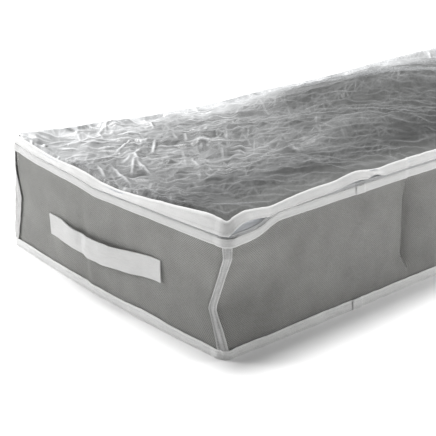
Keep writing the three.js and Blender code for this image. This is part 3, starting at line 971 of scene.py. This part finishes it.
def straight_creases(x, y, crumpled):
    """Short straight creases that cross each other where the film is crumpled. Gives their height,
    from -0.6 to 1, and how shaded the film is along one side of each."""
    rng = np.random.default_rng(7)
    height = np.zeros(x.shape)
    shaded = np.zeros(x.shape)
    for _ in range(STRAIGHT_CREASES):
        place = (rng.uniform(-HALF_X, HALF_X), rng.uniform(-HALF_Y, HALF_Y))
        if rng.random() < CREASES_NEAR_LEFT_END:
            place = (-HALF_X + abs(rng.normal(0.12, 0.16)), rng.uniform(-0.5, 0.95) * HALF_Y)
        angle = rng.choice((0.95, -0.6, -0.25)) + rng.normal(0, 0.22)
        length = rng.uniform(0.012, 0.045)
        width = rng.uniform(0.0030, 0.0046)
        size = rng.uniform(0.4, 1.0) * rng.choice((-0.6, 1.0))
        size *= value_at(crumpled, place)
        along = (x - place[0]) * math.cos(angle) + (y - place[1]) * math.sin(angle)
        across = (y - place[1]) * math.cos(angle) - (x - place[0]) * math.sin(angle)
        taper = clamp(1 - (along / length) ** 2)
        ridge = taper * clamp(1 - np.abs(across) / width)
        beside = taper * clamp(1 - np.abs(across + width) / width)
        height = np.where(np.abs(size) * ridge > np.abs(height), size * ridge, height)
        shaded = np.maximum(shaded, abs(size) * beside)
    return height, shaded


def fallen_film():
    """The film as it lies, on a fine grid."""
    points = patch_inside_walls(film_edge, FILM_SEGMENTS[0] + 1, FILM_SEGMENTS[1] + 1)
    points = simulate_film(points)
    return refined(refined(points))


def cells_from_edge(columns, rows):
    """How many cells each point of a grid is from the nearest edge."""
    from_ends = np.minimum(np.arange(columns), np.arange(columns)[::-1])
    from_sides = np.minimum(np.arange(rows), np.arange(rows)[::-1])
    return np.minimum(from_ends[:, None], from_sides[None, :])


def crumple(points):
    """Adds facets and creases to the film's height. Gives what its material needs to know at each point: how
    crumpled it is, with painted sheen that changes by facet and along the back edge, how near a crease, and
    how shaded."""
    x, y = points[..., 0], points[..., 1]
    free = clamp(cells_from_edge(*x.shape) / FREE_CELLS)
    crumpled = crumpled_share(x, y)
    wide, wide_creases, wide_shades = folded_planes(x, y, *WIDE_FACETS)
    small, small_creases, small_shades = folded_planes(x, y, *SMALL_FACETS)
    sticks, shaded = straight_creases(x, y, crumpled)
    depth = 0.35 + 0.65 * crumpled
    facets = WIDE_HEIGHT * depth * wide + SMALL_HEIGHT * depth * small
    points[..., 2] += (facets + CREASE_HEIGHT * sticks) * free
    patchy = clamp(0.5 + 0.9 * fractal_map(x, y, 0.05, 2, 47))
    # Where the painted highlight along a crease goes.
    creased = depth * patchy * np.maximum(0.24 * wide_creases**2, 0.44 * small_creases**2)
    creased = clamp(np.maximum(creased, 1.1 * np.abs(sticks)))
    # Painted shade beside each short crease, and on the facets with the highest random shade.
    shaded = clamp(shaded + 0.25 * depth * clamp(wide_shades - 0.7)) * (1 - creased)
    # Painted sheen: the whitening changes from facet to facet, as if some facets caught the light.
    by_facet = 0.03 + 0.5 * wide_shades + 0.4 * small_shades
    crumpled = clamp(crumpled * by_facet) + sheen_and_haze_share(x, y)
    return {"crumpled": crumpled, "creased": creased, "shaded": shaded}


def add_film():
    points = fallen_film()
    looks = crumple(points)
    columns, rows = points.shape[:2]
    uvs = grid_map(np.linspace(0, 2 * HALF_X, columns)[:, None], np.linspace(0, 2 * HALF_Y, rows)[None, :])
    lid = make_object("film_lid", points.reshape(-1, 3), grid_faces(columns, rows), film, uvs.reshape(-1, 2))
    for name, values in looks.items():
        lid.data.attributes.new(name, "FLOAT", "POINT").data.foreach_set("value", values.ravel())
    place_piece(lid, "lid", "lid_window")


def lid_binding_height(s):
    return lid_top(s) - lid_foot(s)


def add_lid_binding():
    s = around_box()
    tape = tape_on_wall("lid_binding_tape", s, lid_foot, lid_binding_height, 0.0006, -0.0058, white_tape)
    place_piece(tape, "lid", "lid_binding")


def hinge_profile(s):
    return flat_profile(rim_top(s) - 0.004, lid_foot(s) + 0.004, np.full(4, -0.0004))


def add_hinge_strip():
    strip = ribbon("hinge_cloth", np.linspace(BACK + 0.006, LEFT - 0.006, 260), hinge_profile, hinge_tape)
    place_piece(strip, "box", "hinge_strip")


# ---- handles ----

def add_handle(name, side):
    """A slack strap in two halves that meet at its middle, each sewn down at its outer end."""
    low, high = (Vector(corner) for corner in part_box(f"{name}_handle_grip"))
    tab_low, tab_high = (Vector(corner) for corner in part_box(f"{name}_handle_tab_front"))
    width = tab_high.z - tab_low.z
    middle_z = (tab_high.z + tab_low.z) / 2
    grip_half = high.y
    whole_half = -tab_low.y
    bow = max(abs(low.x), abs(high.x)) - max(abs(tab_low.x), abs(tab_high.x))
    droop = tab_low.z - low.z
    across = np.linspace(-0.5, 0.5, 9)
    distances = np.linspace(whole_half, 0.0, 44)
    slack = clamp(1 - (distances / grip_half) ** 2) ** 1.3
    for end, sy in (("front", -1), ("back", 1)):
        y = sy * distances
        wave = 0.0009 * fractal_map(y, y * 0, 0.03, 2, 51)[:, None] * np.sign(across)
        centre_z = middle_z - STRAP_DROOP * droop * slack[:, None] - STRAP_TILT * y[:, None] / whole_half
        z = centre_z + across * width * 0.97 + wave
        s = (AROUND - (y + HALF_Y)) if side < 0 else (CORNERS[1] + y + HALF_Y)
        wall = on_wall(s[:, None], z)
        cup = 0.0016 * np.cos(across * math.pi)[None, :] * slack[:, None]
        x = wall[..., 0] + side * (0.0006 + STRAP_THICKNESS + bow * slack[:, None] * STRAP_BOW + cup)
        points = np.stack([x, np.broadcast_to(y[:, None], x.shape), z], axis=-1)
        uvs = grid_map(y[:, None], across[None, :] * width)
        if sy * side > 0:
            points, uvs = points[:, ::-1], uvs[:, ::-1]
        strap = outward_faces(sheet_object(f"{name}_strap_{end}", points, uvs, STRAP_THICKNESS, white_strap))
        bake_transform(strap)
        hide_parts(f"{name}_handle_tab_{end}", f"{name}_handle_grip")


# ---- small pieces of the zip ----

def finish_cad_node(name, material, bevel):
    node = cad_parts[name]
    node.data.materials.clear()
    node.data.materials.append(material)
    rounding = node.modifiers.new("Rounded", "BEVEL")
    rounding.width = bevel
    rounding.segments = 2
    rounding.limit_method = "ANGLE"


def add_small_pieces():
    for side in ("left", "right"):
        finish_cad_node(f"zip_slider_{side}", enamel, 0.0003)
        finish_cad_node(f"zip_pull_{side}", enamel, 0.0003)
        finish_cad_node(f"zip_end_tab_{side}", hinge_tape, 0.0004)


# ---- room ----

def add_floor():
    size = 30.0
    material = Nodes("pale_floor")
    shade = material.noise(3.0, 2.0)
    tone = material.ramp(shade, [(0.3, (0.93, 0.93, 0.93)), (0.7, (0.95, 0.95, 0.95))])
    surface = material.finish(Base_Color=tone, Roughness=0.9)
    corners = [(-size, -size, 0), (size, -size, 0), (size, size, 0), (-size, size, 0)]
    floor = make_object("floor", corners, [(0, 1, 2, 3)], surface)


def aimed(name, data, place, direction):
    """A lamp or the camera at a place, looking that way."""
    obj = bpy.data.objects.new(name, data)
    obj.location = place
    obj.rotation_euler = direction.to_track_quat("-Z", "Y").to_euler()
    bpy.context.collection.objects.link(obj)
    return obj


def add_soft_light(name, place, target, size, power):
    light = bpy.data.lights.new(name, "AREA")
    light.shape = "DISK"
    light.size = size
    light.energy = power
    aimed(name, light, place, Vector(target) - Vector(place))


def add_world():
    """A dim white sky, and a bright one that only the camera sees."""
    world = bpy.data.worlds.new("studio")
    world.use_nodes = True
    nodes, links = world.node_tree.nodes, world.node_tree.links
    sky, backdrop = nodes["Background"], nodes.new("ShaderNodeBackground")
    for shader, strength in ((sky, 0.10), (backdrop, 1.0)):
        shader.inputs["Color"].default_value = (1, 1, 1, 1)
        shader.inputs["Strength"].default_value = strength
    mix = nodes.new("ShaderNodeMixShader")
    links.new(nodes.new("ShaderNodeLightPath").outputs["Is Camera Ray"], mix.inputs[0])
    links.new(sky.outputs[0], mix.inputs[1])
    links.new(backdrop.outputs[0], mix.inputs[2])
    links.new(mix.outputs[0], nodes["World Output"].inputs["Surface"])
    bpy.context.scene.world = world


def add_lights():
    bpy.context.scene.view_settings.view_transform = "Standard"
    add_soft_light("key", (-1.35, 1.15, 0.85), (-0.5, 0.1, 0.1), 0.6, 18.5)
    add_soft_light("side", (1.1, -1.05, 0.65), (0.2, -0.2, 0.1), 0.7, 18)
    sun = bpy.data.lights.new("top", "SUN")
    sun.energy = 4.2
    sun.angle = math.radians(27)
    aimed("top", sun, (0, 0, 0), Vector((-0.6, -1.4, -4.5)))


def add_camera():
    """Looks down a little at the front left corner, past the left end."""
    camera = bpy.data.cameras.new("camera")
    camera.sensor_width = 36
    camera.lens = 85.2
    heading = math.radians(40.66)
    pitch = math.radians(21.25)
    level = math.cos(pitch)
    place = Vector((-HALF_X, -HALF_Y, 0)) + Vector((-0.6745, -0.7714, 0.5722))
    forward = Vector((math.sin(heading) * level, math.cos(heading) * level, -math.sin(pitch)))
    bpy.context.scene.camera = aimed("camera", camera, place, forward)


add_camera()
add_world()
add_lights()
add_floor()
add_walls()
add_base()
add_box_bindings()
add_corner_bindings()
add_zip()
add_film()
add_lid_binding()
add_hinge_strip()
add_handle("left", -1)
add_handle("right", 1)
add_small_pieces()
